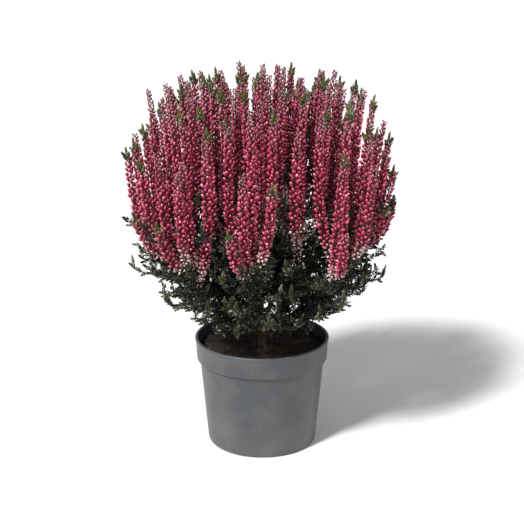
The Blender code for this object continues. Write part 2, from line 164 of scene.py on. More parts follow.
def mixed(tree, share, first, second, mode="MIX"):
    """Two colours mixed. Each value is a socket, a number or a colour."""
    made = tree.nodes.new("ShaderNodeMix")
    made.data_type = "RGBA"
    made.blend_type = mode
    for socket, value in zip((made.inputs[0], made.inputs[6], made.inputs[7]), (share, first, second)):
        if isinstance(value, bpy.types.NodeSocket):
            tree.links.new(value, socket)
        elif isinstance(value, tuple):
            socket.default_value = (*value, 1.0)
        else:
            socket.default_value = value
    return made.outputs[2]


def grain(tree, scale, detail=3.0, roughness=0.55):
    """Smooth noise in the object's own space, from 0 to 1."""
    place = add(tree, "TexCoord").outputs["Object"]
    return add(tree, "TexNoise", {"Vector": place}, Scale=scale, Detail=detail, Roughness=roughness).outputs["Fac"]


def raised(tree, shader, height, distance, strength=1.0):
    """Raises the surface a little where the height is large."""
    bump = add(tree, "Bump", {"Height": height}, Strength=strength, Distance=distance)
    tree.links.new(bump.outputs["Normal"], shader.inputs["Normal"])


# %% Floor
FLOOR_SIZE = 80.0

sheet = bmesh.new()
bmesh.ops.create_grid(sheet, x_segments=1, y_segments=1, size=FLOOR_SIZE / 2)
floor_mesh = bpy.data.meshes.new("floor")
sheet.to_mesh(floor_mesh)
sheet.free()
floor = bpy.data.objects.new("floor", floor_mesh)
bpy.context.scene.collection.objects.link(floor)
paper, paper_tree, paper_shader = new_finish("floor_paper", 0.8)
paper_shader.inputs["Base Color"].default_value = (0.86, 0.86, 0.85, 1.0)
floor_mesh.materials.append(paper)

# %% [markdown]
# ## The pot
#
# A nursery pot is moulded in one shot from thin plastic: a slightly tapered wall, a wider collar
# that lets a hand or a tray hold it, and a rolled lip. It is a turned shape, so its outline is
# drawn once and a Screw modifier turns it. The corners of the outline are rounded first, since no
# moulded edge is sharp, and they are what catches the light.

# %% The pot's outline
pot_low, pot_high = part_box("pot")
RIM_RADIUS = pot_high.x
POT_HEIGHT = pot_high.z
COLLAR_Z = POT_HEIGHT - 0.017
COLLAR_FOOT_RADIUS = RIM_RADIUS - 0.0013
BODY_TOP_RADIUS = RIM_RADIUS - 0.0037
BASE_RADIUS = RIM_RADIUS - 0.0100
WALL = 0.0013
LIP_WIDTH = 0.0022
FLOOR_THICKNESS = 0.0022


def inner_radius(z):
    """Radius of the pot's inner wall at this height, below the collar."""
    return BASE_RADIUS + (BODY_TOP_RADIUS - BASE_RADIUS) * z / COLLAR_Z - WALL


def soften(corners, steps=5):
    """An outline through (x, z, rounding) corners, with each corner rounded."""
    points = []
    for i, (x, z, rounding) in enumerate(corners):
        here = Vector((x, z))
        if rounding == 0:
            points.append(here)
            continue
        before = Vector(corners[i - 1][:2]) - here
        after = Vector(corners[i + 1][:2]) - here
        start = here + before.normalized() * min(rounding, before.length * 0.45)
        end = here + after.normalized() * min(rounding, after.length * 0.45)
        for k in range(steps + 1):
            t = k / steps
            points.append(start * (1 - t) ** 2 + here * 2 * t * (1 - t) + end * t * t)
    return [(point.x, 0.0, point.y) for point in points]


pot_corners = [
    (0.0, FLOOR_THICKNESS, 0),
    (inner_radius(FLOOR_THICKNESS), FLOOR_THICKNESS, 0.004),
    (inner_radius(COLLAR_Z), COLLAR_Z - WALL, 0.001),
    (COLLAR_FOOT_RADIUS - WALL, COLLAR_Z + WALL, 0.001),
    (RIM_RADIUS - LIP_WIDTH, POT_HEIGHT, 0.0009),
    (RIM_RADIUS, POT_HEIGHT, 0.0010),
    (RIM_RADIUS, POT_HEIGHT - 0.0020, 0.0006),
    (RIM_RADIUS - 0.0006, POT_HEIGHT - 0.0026, 0.0005),
    (COLLAR_FOOT_RADIUS, COLLAR_Z, 0.0005),
    (BODY_TOP_RADIUS, COLLAR_Z + 0.0002, 0.0005),
    (BASE_RADIUS, 0.0, 0.003),
    (0.0, 0.0, 0),
]
print("pot:", round(RIM_RADIUS * 2000), "mm across,", round(POT_HEIGHT * 1000), "mm tall")

# %% Turn the outline and cut the drain holes
POT_STEPS = 144
DRAIN_HOLES = 8
DRAIN_CIRCLE = 0.033
DRAIN_RADIUS = 0.0035
GROOVE = (0.0135, 0.005, 0.002)


def link(name, mesh, finish=None):
    """A new object in the scene from a mesh."""
    obj = bpy.data.objects.new(name, mesh)
    bpy.context.scene.collection.objects.link(obj)
    if finish:
        mesh.materials.append(finish)
    return obj


def turn_outline(name, points, steps):
    """An outline in the XZ plane turned once round Z, as a plain mesh."""
    mesh = bpy.data.meshes.new(name)
    mesh.from_pydata(points, [(i, i + 1) for i in range(len(points) - 1)], [])
    guide = link(name + "_outline", mesh)
    screw = guide.modifiers.new("turn", "SCREW")
    screw.axis = "Z"
    screw.steps = steps
    screw.render_steps = steps
    screw.use_merge_vertices = True
    screw.merge_threshold = 0.00002
    graph = bpy.context.evaluated_depsgraph_get()
    made = bpy.data.meshes.new_from_object(guide.evaluated_get(graph))
    bpy.data.objects.remove(guide)
    return made


def cut_away(body, cutter):
    """Cuts one object out of another and removes the cutter."""
    cut = body.modifiers.new("cut", "BOOLEAN")
    cut.operation = "DIFFERENCE"
    cut.object = cutter
    graph = bpy.context.evaluated_depsgraph_get()
    body.data = bpy.data.meshes.new_from_object(body.evaluated_get(graph))
    body.modifiers.clear()
    bpy.data.objects.remove(cutter)


def drain_cutters(shape):
    """One cutter for each drain hole, or one for each groove that leads out from it."""
    bm = bmesh.new()
    for i in range(DRAIN_HOLES):
        spin = math.tau * (i + 0.5) / DRAIN_HOLES
        if shape == "hole":
            made = bmesh.ops.create_cone(
                bm, cap_ends=True, segments=24, radius1=DRAIN_RADIUS, radius2=DRAIN_RADIUS, depth=0.02)["verts"]
            reach = DRAIN_CIRCLE
        else:
            made = bmesh.ops.create_cube(bm, size=1.0)["verts"]
            bmesh.ops.scale(bm, verts=made, vec=GROOVE)
            reach = DRAIN_CIRCLE + GROOVE[0] / 2
        bmesh.ops.translate(bm, verts=made, vec=(reach, 0, 0))
        turned = Matrix.Rotation(spin, 3, "Z")
        bmesh.ops.rotate(bm, verts=made, cent=(0, 0, 0), matrix=turned)
    mesh = bpy.data.meshes.new(shape)
    bm.to_mesh(mesh)
    bm.free()
    return link(shape, mesh)


pot = link("plastic_pot", turn_outline("plastic_pot", soften(pot_corners), POT_STEPS))
for shape in ("hole", "groove"):
    cut_away(pot, drain_cutters(shape))
pot.data.shade_smooth()
pot.data.set_sharp_from_angle(angle=math.radians(35))
print("pot:", len(pot.data.polygons), "faces with its", DRAIN_HOLES, "drain holes")

# %% [markdown]
# The plastic is dark grey and satin. Close up it has a fine moulding grain, and a pot that has stood
# in a nursery carries dust: a thin film on the wall that thickens towards the foot, and splashes of
# dried soil under the lip. The dust lightens the grey and takes the shine off, so the same mask
# drives both the colour and the roughness.

# %% Satin plastic with dust
plastic, tree, shader = new_finish("satin_plastic", 0.45)
height = add(tree, "SeparateXYZ", {"Vector": add(tree, "TexCoord").outputs["Object"]}).outputs["Z"]
foot = add(tree, "MapRange", {"Value": height}, **{"From Min": 0.03, "From Max": 0.0, "To Max": 0.55}).outputs["Result"]
cloud = band(tree, grain(tree, 45, 6), (0.45, (0, 0, 0)), (0.75, (1, 1, 1)))
specks = band(tree, grain(tree, 700, 2), (0.66, (0, 0, 0)), (0.74, (1, 1, 1)))
film = mixed(tree, 1.0, cloud, foot, "ADD")
dust = mixed(tree, 1.0, film, mixed(tree, 0.35, (0.25, 0.25, 0.25), specks, "ADD"), "MULTIPLY")
grey = band(tree, grain(tree, 18, 2), (0.3, (0.052, 0.056, 0.061)), (0.7, (0.066, 0.070, 0.076)))
colour = mixed(tree, dust, grey, (0.20, 0.185, 0.165))
tree.links.new(colour, shader.inputs["Base Color"])
shine = add(tree, "MapRange", {"Value": dust}, **{"To Min": 0.40, "To Max": 0.75}).outputs["Result"]
tree.links.new(shine, shader.inputs["Roughness"])
raised(tree, shader, grain(tree, 2600, 2), 0.00006, 0.5)

pot.data.materials.append(plastic)
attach(pot, "root")
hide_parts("pot")

# %% [markdown]
# ## Soil
#
# The pot is filled with peat to just below the collar. The plug is another turned outline. Its top
# rings are close together, so that noise can push them into lumps. On top lie loose crumbs and
# short fibres of peat, which a smooth surface could never suggest.

# %% The plug
soil_low, soil_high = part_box("soil")
FIT_GAP = 0.0003
SOIL_TOP = POT_HEIGHT - 0.009
SOIL_EDGE = COLLAR_FOOT_RADIUS - WALL - 2 * FIT_GAP
SOIL_RINGS = 34
SOIL_LUMP = 0.0016
TRUNK_RADIUS = 0.0034
TRUNK_DEPTH = 0.020

soil_outline = [(0.0, 0.0, SOIL_TOP - TRUNK_DEPTH), (TRUNK_RADIUS + FIT_GAP, 0.0, SOIL_TOP - TRUNK_DEPTH)]
for i in range(SOIL_RINGS + 1):
    radius = TRUNK_RADIUS + FIT_GAP + (SOIL_EDGE - 0.0012 - TRUNK_RADIUS) * i / SOIL_RINGS
    soil_outline.append((radius, 0.0, SOIL_TOP))
soil_outline += [
    (SOIL_EDGE, 0.0, SOIL_TOP - 0.0015),
    (SOIL_EDGE, 0.0, COLLAR_Z + 2 * WALL),
    (inner_radius(COLLAR_Z) - FIT_GAP, 0.0, COLLAR_Z - WALL - FIT_GAP),
    (inner_radius(soil_low.z + 0.004) - FIT_GAP, 0.0, soil_low.z + 0.004),
    (inner_radius(soil_low.z) - WALL - FIT_GAP, 0.0, soil_low.z),
    (0.0, 0.0, soil_low.z),
]
plug = link("peat_plug", turn_outline("peat_plug", soil_outline, 128))
for vert in plug.data.vertices:
    radius = math.hypot(vert.co.x, vert.co.y)
    if vert.co.z > SOIL_TOP - FIT_GAP and radius > TRUNK_RADIUS + 2 * FIT_GAP:
        lumps = noise.fractal(vert.co * 130, 1.0, 2.0, 3) + 0.5 * abs(noise.noise(vert.co * 420))
        vert.co.z += SOIL_LUMP * lumps
plug.data.shade_smooth()
print("soil:", len(plug.data.polygons), "faces, top at", round(SOIL_TOP * 1000), "mm")

# %% [markdown]
# ## Many copies of a small shape
#
# Crumbs, leaves and buds are all small shapes repeated many times. A shape is modelled once, lying
# along Z from 0 to 1 and one unit wide, and then numpy places every copy in one step. Each point
# also gets three marks that a finish can read: a random number for its copy, how far the copy
# sits along its stem, and how far the point lies along the copy.

# %% Shapes and copies
def unit(vectors):
    """The same directions with a length of one."""
    return vectors / np.linalg.norm(vectors, axis=-1, keepdims=True)


def shape_from(bm):
    """A shape as points, triangles and marks: a random share and a share along the shape."""
    bmesh.ops.triangulate(bm, faces=bm.faces)
    bmesh.ops.recalc_face_normals(bm, faces=bm.faces)
    points = np.array([vert.co[:] for vert in bm.verts])
    faces = np.array([[vert.index for vert in face.verts] for face in bm.faces])
    bm.free()
    marks = np.stack([np.zeros(len(points)), np.clip(points[:, 2], 0, 1)], axis=1)
    return points, faces, marks


def copies(shape, places, ways, outs, lengths, widths, chance, along):
    """Every copy of a shape: its Z lies along its way, and its Y turns towards its out."""
    points, faces, marks = shape
    ways = unit(ways)
    across = unit(np.cross(ways, outs))
    back = np.cross(across, ways)
    sizes = np.ones(len(places))
    wide = (sizes * widths)[:, None, None]
    tall = (sizes * lengths)[:, None, None]
    flat = points[None, :, 0:1] * across[:, None] + points[None, :, 1:2] * back[:, None]
    spots = places[:, None] + flat * wide + points[None, :, 2:3] * ways[:, None] * tall
    numbers = faces[None] + (np.arange(len(places)) * len(points))[:, None, None]
    tint = np.ones((len(places), len(points), 4))
    tint[:, :, 0] = (chance[:, None] + marks[None, :, 0]) % 1.0
    tint[:, :, 1] = (sizes * along)[:, None]
    tint[:, :, 2] = marks[None, :, 1]
    return spots.reshape(-1, 3), numbers.reshape(-1, 3), tint.reshape(-1, 4)


def joined(parts):
    """Several sets of points, triangles and tints as one."""
    counts = np.cumsum([0] + [len(points) for points, _, _ in parts])
    faces = np.concatenate([faces + start for (_, faces, _), start in zip(parts, counts)])
    return np.concatenate([part[0] for part in parts]), faces, np.concatenate([part[2] for part in parts])


def piece_from(name, parts, finish, slot, *nodes):
    """One piece of the scene, which rides on the plant and stands for the model's nodes."""
    points, faces, tints = joined(parts)
    mesh = bpy.data.meshes.new(name)
    mesh.from_pydata(points, [], faces)
    mesh.shade_smooth()
    mesh.attributes.new("tint", "FLOAT_COLOR", "POINT").data.foreach_set("color", tints.ravel())
    obj = link(name, mesh, finish)
    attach(obj, "root")
    if nodes:
        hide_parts(*nodes)
    return obj


# %% [markdown]
# A stem is a tube along a line. Its cross directions are carried from ring to ring, so that it
# doesn't twist, and both ends are closed.

# %% Stems
STEM_HINT = np.array([0.48, 0.60, -0.64])


def tube(line, radii, sides, chance=0.5, along=0.5):
    """A closed round stem along the points of a line, with a radius at each."""
    line = np.array(line, float)
    ways = unit(np.gradient(line, axis=0))
    side = unit(np.cross(ways[0], STEM_HINT))
    rings = []
    turns = np.arange(sides)[:, None] * math.tau / sides
    for place, way, radius in zip(line, ways, radii):
        side = unit(side - way * side.dot(way))
        rings.append(place + radius * (np.cos(turns) * side + np.sin(turns) * np.cross(way, side)))
    points = np.concatenate(rings + [line[:1], line[-1:]])
    ring = (np.arange(len(line) - 1) * sides)[:, None]
    a = (ring + np.arange(sides)).ravel()
    b = (ring + (np.arange(sides) + 1) % sides).ravel()
    foot = len(points) - 2
    tip = len(points) - 1
    faces = np.concatenate([
        np.stack([a, b, b + sides], axis=1),
        np.stack([a, b + sides, a + sides], axis=1),
        np.stack([np.full(sides, foot), b[:sides], a[:sides]], axis=1),
        np.stack([np.full(sides, tip), a[-sides:] + sides, b[-sides:] + sides], axis=1),
    ])
    tint = np.ones((len(points), 4))
    tint[:, 0] = chance
    tint[:, 1] = along
    tint[:-2, 2] = np.repeat(np.linspace(0, 1, len(line)), sides)
    return points, faces, tint


def walk(line, spots):
    """Places and directions at these distances along a line."""
    line = np.array(line, float)
    run = np.concatenate([[0.0], np.cumsum(np.linalg.norm(np.diff(line, axis=0), axis=1))])
    slopes = np.gradient(line, run, axis=0)
    places = np.stack([np.interp(spots, run, line[:, k]) for k in range(3)], axis=1)
    ways = np.stack([np.interp(spots, run, slopes[:, k]) for k in range(3)], axis=1)
    return places, unit(ways)


def round_stem(line, spots, turns, tilts, stand):
    """Where things sit round a stem: their places, the ways they point, and outward directions."""
    places, ways = walk(line, spots)
    side = unit(np.cross(ways, STEM_HINT))
    other = np.cross(ways, side)
    turns = np.asarray(turns)[:, None]
    tilts = np.asarray(tilts)[:, None]
    out = side * np.cos(turns) + other * np.sin(turns)
    return places + out * np.reshape(stand, (-1, 1)), ways * np.cos(tilts) + out * np.sin(tilts), out


# %% Crumbs and fibres of peat
CRUMBS = 900
FIBRES = 130

chooser = np.random.default_rng(3)
ball = bmesh.new()
bmesh.ops.create_icosphere(ball, subdivisions=1, radius=0.5)
for vert in ball.verts:
    vert.co *= 1 + 0.35 * noise.noise(vert.co * 5)
crumb = shape_from(ball)


def on_soil(count, inset=0.0015):
    """Random places on top of the soil, clear of the pot's wall and the trunk."""
    reach = TRUNK_RADIUS + (SOIL_EDGE - inset - TRUNK_RADIUS) * np.sqrt(chooser.uniform(0, 1, count))
    spin = chooser.uniform(0, math.tau, count)
    return np.stack([reach * np.cos(spin), reach * np.sin(spin), np.full(count, SOIL_TOP)], axis=1)


sizes = chooser.uniform(0.0006, 0.0024, CRUMBS) * chooser.uniform(0.6, 1.2, CRUMBS)
litter = [copies(crumb, on_soil(CRUMBS), chooser.normal(size=(CRUMBS, 3)), chooser.normal(size=(CRUMBS, 3)),
                 sizes, sizes * 1.3, chooser.uniform(0, 1, CRUMBS), 0.2)]
for place in on_soil(FIBRES, 0.004):
    spin = chooser.uniform(0, math.tau)
    half = np.array([math.cos(spin), math.sin(spin), 0]) * chooser.uniform(0.001, 0.0032)
    arch = np.array([0, 0, chooser.uniform(0.0006, 0.0016)])
    bow = np.cross(half, [0, 0, 1]) * chooser.uniform(-0.5, 0.5)
    line = [place - half, place + arch + bow, place + half + arch * 0.3]
    thick = chooser.uniform(0.00008, 0.0002)
    litter.append(tube(line, [thick * 0.6, thick, thick * 0.4], 4, chooser.uniform(), 0.9))
print("litter:", CRUMBS, "crumbs and", FIBRES, "fibres")

# %% [markdown]
# Moist peat is nearly black-brown with paler crumbs where it has dried, and it never shines. The
# same finish serves the plug and the litter: the marks only shift its brown.

# %% Moist peat
def marks_of(tree):
    """The three marks of a point as sockets: chance, along its stem, and along its copy."""
    tint = tree.nodes.new("ShaderNodeAttribute")
    tint.attribute_name = "tint"
    apart = add(tree, "SeparateColor", {"Color": tint.outputs["Color"]})
    return [apart.outputs[name] for name in ("Red", "Green", "Blue")]


peat, tree, shader = new_finish("moist_peat", 0.95)
chance, along, share = marks_of(tree)
brown = band(tree, grain(tree, 260, 6, 0.7),
             (0.30, (0.010, 0.006, 0.004)), (0.55, (0.032, 0.020, 0.012)), (0.75, (0.085, 0.055, 0.034)))
dryness = mixed(tree, chance, (0.55, 0.50, 0.50), (1.9, 1.7, 1.5))
tree.links.new(mixed(tree, 1.0, brown, dryness, "MULTIPLY"), shader.inputs["Base Color"])
raised(tree, shader, grain(tree, 900, 4, 0.7), 0.0004)

plug.data.materials.append(peat)
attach(plug, "root")
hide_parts("soil")
piece_from("peat_litter", litter, peat, "peat")

# %% [markdown]
# ## Where everything grows
#
# A bud heather is clipped when young, so it branches low down into many sprays of the same age. All
# of them rise from the woody crown, swing outwards, and straighten towards the light, and their
# tips share the space out evenly. The rule below repeats the model's own: sunflower spacing for the
# main racemes, a few rounds in which tips that are too close push each other apart, and one smooth
# Bezier curve for each stem.

# %% Lines and directions
def bezier(p0, p1, p2, p3, steps=24):
    """Points along a cubic Bezier curve."""
    points = []
    for i in range(steps + 1):
        t = i / steps
        s = 1 - t
        points.append(p0 * s ** 3 + p1 * 3 * s * s * t + p2 * 3 * s * t * t + p3 * t ** 3)
    return points


def lengths_along(points):
    """Distance from the first point to each point."""
    run = [0.0]
    for a, b in zip(points, points[1:]):
        run.append(run[-1] + (b - a).length)
    return run


def point_at(points, distance):
    """The point that far along the line, and the line's direction there."""
    run = lengths_along(points)
    distance = min(max(distance, 0.0), run[-1])
    for i in range(len(points) - 1):
        if distance <= run[i + 1] or i == len(points) - 2:
            step = points[i + 1] - points[i]
            share = (distance - run[i]) / max(step.length, 1e-9)
            return points[i] + step * share, step.normalized()


def stretch(points, start, end, steps):
    """Evenly spaced points along part of a line."""
    return [point_at(points, start + (end - start) * i / steps)[0] for i in range(steps + 1)]


def between(first, last, share):
    """The value that lies this share of the way from the first to the last."""
    return first + (last - first) * share


def flat_way(turn):
    """The level direction at this angle round the pot."""
    return Vector((math.cos(turn), math.sin(turn), 0))


# %% [markdown]
# Seen from above, each spray has one main tip and a few side tips round it. Seen from the side, the
# tips end on a low dome whose shoulder drops at the edge.

# %% Tips of the racemes
SEED = 15
SPRAYS = sum(name.startswith("raceme_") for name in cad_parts)
SIDES_PER_SPRAY = 4
SPRAY_REACH = 0.094
SIDE_OFFSET = 0.0165
PLANT_RADIUS = 0.1080
TOP_RADIUS = 0.0975
PLANT_TOP = 0.300
SHOULDER_DROP = 0.046
SHOULDER_POWER = 3.6
TIP_SPACING = 0.0166
SPREADING_ROUNDS = 60
LEAN_MIDDLE = math.radians(3)
LEAN_EDGE = math.radians(15)
LEAN_JITTER = math.radians(2.5)
TURN_JITTER = math.radians(14)
GOLDEN_ANGLE = math.radians(137.508)
AXIS_STEPS = 40


def dome_height(radius):
    """Height of the plant's top at this distance from its axis."""
    return PLANT_TOP - SHOULDER_DROP * (radius / PLANT_RADIUS) ** SHOULDER_POWER


def lean_at(tip, rng):
    """Direction of a raceme's tip: upright in the middle, leaning out at the edge."""
    share = min(tip.length / PLANT_RADIUS, 1.0)
    lean = between(LEAN_MIDDLE, LEAN_EDGE, share) + rng.uniform(-LEAN_JITTER, LEAN_JITTER)
    turn = math.atan2(tip.y, tip.x) + rng.uniform(-TURN_JITTER, TURN_JITTER)
    return flat_way(turn) * math.sin(lean) + UP * math.cos(lean)


def spread_tips(rng):
    """Where each raceme ends, seen from above: tips[spray] holds its main tip, then its sides."""
    tips = []
    for k in range(SPRAYS):
        reach = SPRAY_REACH * math.sqrt((k + 0.5) / SPRAYS)
        main = flat_way(k * GOLDEN_ANGLE).to_2d() * reach
        first = rng.uniform(0, math.tau)
        turns = [first + math.tau * j / SIDES_PER_SPRAY for j in range(SIDES_PER_SPRAY)]
        tips.append([main] + [main + flat_way(turn).to_2d() * SIDE_OFFSET for turn in turns])
    everyone = [tip for spray in tips for tip in spray]
    for _ in range(SPREADING_ROUNDS):
        for i, a in enumerate(everyone):
            for b in everyone[:i]:
                apart = a - b
                short = TIP_SPACING - apart.length
                if short > 0:
                    push = apart.normalized() * short * 0.5
                    a += push
                    b -= push
            if a.length > TOP_RADIUS:
                a *= TOP_RADIUS / a.length
    return tips


# %% Stems from the crown to the tips
KNOB_Z = 0.086
KNOB_RISE = 0.008
LIMB_FOOT = 0.001
FIRST_LEAN_MIDDLE = math.radians(8)
FIRST_LEAN_EDGE = math.radians(78)
BULGE_MIDDLE = 0.40
BULGE_EDGE = 0.64
STRAIGHT_MIDDLE = 0.46
STRAIGHT_EDGE = 0.40
MAIN_LENGTHS = (0.096, 0.150)
MAIN_DROP = 0.006
FORK_RISE = 0.008
FORK_STEP = 0.004
SIDE_SPREAD = 0.75
SIDE_DROPS = (0.002, 0.014)
SIDE_DROP = 1.6
SIDE_BULGE = 55.0
SIDE_UPTURN = 60.0
SIDE_PULLS = (0.3, 0.45)
SKIRT_FROM = 0.66
SKIRT_FORK = 0.002
SKIRT_HEIGHTS = (0.196, 0.232)
SKIRT_JITTER = 0.006
SKIRT_LEAN = math.radians(7)
SKIRT_LEAVE = 0.7
SKIRT_SPREAD = 0.20
SKIRT_RADII = (0.078, 0.108)
SKIRT_PULLS = (0.36, 0.42)
SKIRT_GREEN = 0.28


def main_axis(tip, share, outward, rng):
    """The line of a spray's limb, shoot and main raceme, from the crown to its tip."""
    top = Vector((tip.x, tip.y, dome_height(tip.length) - rng.uniform(0, MAIN_DROP)))
    root = Vector((0, 0, KNOB_Z + KNOB_RISE * (1 - share))) + outward * LIMB_FOOT
    first_lean = between(FIRST_LEAN_MIDDLE, FIRST_LEAN_EDGE, share)
    away = outward * math.sin(first_lean) + UP * math.cos(first_lean)
    span = (top - root).length
    bend = root + away * span * between(BULGE_MIDDLE, BULGE_EDGE, share)
    rise = top - lean_at(tip, rng) * span * between(STRAIGHT_MIDDLE, STRAIGHT_EDGE, share)
    return bezier(root, bend, rise, top, AXIS_STEPS)


def side_axis(main, tip, share, fork, along, rng):
    """The line of a side raceme. One that ends beyond the main one bulges out and stays lower."""
    beyond = max(0.0, tip.length - main.length) * share
    height = dome_height(tip.length) - rng.uniform(*SIDE_DROPS) - beyond * SIDE_DROP
    end = Vector((tip.x, tip.y, height))
    across = (tip - main).to_3d().normalized()
    leave = (along + across * (SIDE_SPREAD + beyond * SIDE_BULGE)).normalized()
    lean = (lean_at(tip, rng) + UP * beyond * SIDE_UPTURN).normalized()
    reach = (end - fork).length
    return bezier(fork, fork + leave * reach * SIDE_PULLS[0], end - lean * reach * SIDE_PULLS[1], end)


def turn_of(spray):
    """The angle round the pot's axis at which a spray stands."""
    return math.atan2(spray["outward"].y, spray["outward"].x)


def hang_skirt(plan, rng):
    """Low racemes round the outside: each outer spray has one more on its left and one on its right."""
    outer = [spray for spray in plan if spray["share"] > SKIRT_FROM]
    outer.sort(key=turn_of)
    turns = [turn_of(spray) for spray in outer]
    turns = [turns[-1] - math.tau] + turns + [turns[0] + math.tau]
    for i, spray in enumerate(outer):
        before, own, after = turns[i:i + 3]
        ends = [between(own, before, SKIRT_SPREAD), between(own, after, SKIRT_SPREAD)]
        for side, turn in enumerate(ends):
            height = SKIRT_HEIGHTS[side] + rng.uniform(-SKIRT_JITTER, SKIRT_JITTER)
            end = flat_way(turn) * between(*SKIRT_RADII, spray["share"]) + UP * height
            fork, along = point_at(spray["axis"], spray["red_from"] + SKIRT_FORK * (1 + side))
            reach = (end - fork).length
            across = end - fork
            across.z = 0
            leave = (along + across.normalized() * SKIRT_LEAVE).normalized()
            lean = flat_way(turn) * math.sin(SKIRT_LEAN) + UP * math.cos(SKIRT_LEAN)
            spray["skirt"].append(bezier(fork, fork + leave * reach * SKIRT_PULLS[0],
                                         end - lean * reach * SKIRT_PULLS[1], end))


def plan_plant():
    """One dictionary a spray: its main axis, where its flowers start, and its side racemes."""
    rng = random.Random(SEED)
    plan = []
    for tips in spread_tips(rng):
        main = tips[0]
        share = main.length / PLANT_RADIUS
        outward = flat_way(math.atan2(main.y, main.x))
        axis = main_axis(main, share, outward, rng)
        total = lengths_along(axis)[-1]
        red_from = total - between(*MAIN_LENGTHS, share)
        sides = []
        for j, tip in enumerate(tips[1:]):
            fork, along = point_at(axis, red_from + FORK_RISE + FORK_STEP * j)
            sides.append(side_axis(main, tip, share, fork, along, rng))
        plan.append({
            "axis": axis,
            "total": total,
            "red_from": red_from,
            "sides": sides,
            "skirt": [],
            "share": share,
            "outward": outward,
        })
    hang_skirt(plan, rng)
    return plan


plan = plan_plant()
print("plan:", len(plan), "sprays,", sum(1 + len(spray["sides"]) for spray in plan), "racemes")

# %% [markdown]
# Leafy twigs leave each shoot below its flowers. Each one is the clearest of several draws, so twigs
# fill the gaps between shoots and don't grow through them.

# %% Leafy side twigs
LIMB_LENGTH = 0.030
SHOOT_REACH = 0.0056
RACEME_REACH = 0.0062
TWIG_REACH = 0.0058
TWIG_LENGTHS = (0.023, 0.031)
TWIG_EXTRA = 0.0124
TWIG_SWING = 1.5
TWIG_RISE = (0.25, 1.0)
TWIG_LEAVE = 0.2
TWIG_UPTURN = 0.42
TWIG_STEPS = 8
TWIG_FREE_FROM = 3
TWIG_ROOM = (0.2, 0.85)
TWIG_COUNTS = (3, 7)
TWIG_TRIES = 120
TWIG_CLEARANCE = 0.0007
RIM_CLEARANCE = 0.005
CROWD_STEPS = 24


def crowd_of(plan):
    """Points along every shoot and raceme, each with how far its leaves or buds stand out."""
    crowd = []
    for spray in plan:
        shoot = stretch(spray["axis"], 0.0, spray["red_from"], CROWD_STEPS)
        main = stretch(spray["axis"], spray["red_from"], spray["total"], CROWD_STEPS)
        crowd += [(*point, SHOOT_REACH) for point in shoot]
        for line in [main] + spray["sides"] + spray["skirt"]:
            crowd += [(*point, RACEME_REACH) for point in line]
    return np.array(crowd)


def gap_to(points, crowd):
    """Least gap between a twig's leaves and the rest of the plant."""
    gaps = [np.linalg.norm(crowd[:, :3] - np.array(point), axis=1) - crowd[:, 3] for point in points]
    return np.min(gaps) - TWIG_REACH


def draw_twig(spray, low, high, rng):
    """A twig that leaves the shoot somewhere between two distances along it and turns up."""
    start, along = point_at(spray["axis"], rng.uniform(low, high))
    turn = math.atan2(spray["outward"].y, spray["outward"].x) + rng.uniform(-TWIG_SWING, TWIG_SWING)
    rise = rng.uniform(*TWIG_RISE)
    length = rng.uniform(*TWIG_LENGTHS) + TWIG_EXTRA * spray["share"]
    out = flat_way(turn)
    end = start + (out * math.cos(rise) + UP * math.sin(rise)) * length
    leave = start + (along + out) * length * TWIG_LEAVE
    return bezier(start, leave, end - UP * length * TWIG_UPTURN, end, TWIG_STEPS)


def grow_twigs(plan, rng):
    """Gives each shoot leafy side twigs, each the clearest of its neighbours from several draws."""
    crowd = crowd_of(plan)
    for spray in plan:
        spray["twigs"] = []
        wanted = round(between(*TWIG_COUNTS, spray["share"]))
        step = (spray["red_from"] - LIMB_LENGTH) / wanted
        for j in range(wanted):
            low = LIMB_LENGTH + step * (j + TWIG_ROOM[0])
            high = LIMB_LENGTH + step * (j + TWIG_ROOM[1])
            best, best_gap = None, TWIG_CLEARANCE
            for _ in range(TWIG_TRIES):
                line = draw_twig(spray, low, high, rng)
                inside = line[-1].to_2d().length < PLANT_RADIUS - TWIG_REACH
                above = min(point.z for point in line) > POT_HEIGHT + RIM_CLEARANCE
                gap = gap_to(line[TWIG_FREE_FROM:], crowd)
                if inside and above and gap > best_gap:
                    best, best_gap = line, gap
            if best:
                spray["twigs"].append(best)
                crowd = np.vstack([crowd, [(*point, TWIG_REACH) for point in best]])


grow_twigs(plan, random.Random(SEED + 1))
print("twigs:", sum(len(spray["twigs"]) for spray in plan))

# %% [markdown]
# Between them a real heather is a thicket: dozens of thinner twigs cross each other in the shade and
# hide the wood. These may touch their neighbours. They only have to stay inside the bowl that the
# plant's lower side makes, from the pot's rim out to the lowest flowers.

# %% Thicket of thin twigs
THICKET_PER_SPRAY = 15
THICKET_LENGTHS = (0.022, 0.038)
THICKET_RISE = 0.040
BOWL_FOOT = (0.050, 0.093)
BOWL_SLOPE = 1.05


def in_bowl(point):
    """Whether a point lies inside the plant's lower side."""
    reach = point.to_2d().length
    return reach < min(PLANT_RADIUS - 0.006, BOWL_FOOT[0] + (point.z - BOWL_FOOT[1]) / BOWL_SLOPE)


def grow_thicket(spray, rng):
    """Thin twigs from anywhere along the leafy shoot, in all directions."""
    made = []
    for _ in range(400):
        start, along = point_at(spray["axis"], rng.uniform(LIMB_LENGTH * 0.7, spray["red_from"] + THICKET_RISE))
        out = flat_way(rng.uniform(0, math.tau)) + spray["outward"] * 0.5
        way = (out + along * rng.uniform(0.1, 1.2) + UP * rng.uniform(-0.1, 0.5)).normalized()
        length = rng.uniform(*THICKET_LENGTHS)
        end = start + way * length
        line = bezier(start, start + (along + out) * length * 0.2, end - UP * length * 0.25, end, 6)
        if all(in_bowl(point) for point in line[1:]):
            made.append(line)
        if len(made) == THICKET_PER_SPRAY:
            break
    return made


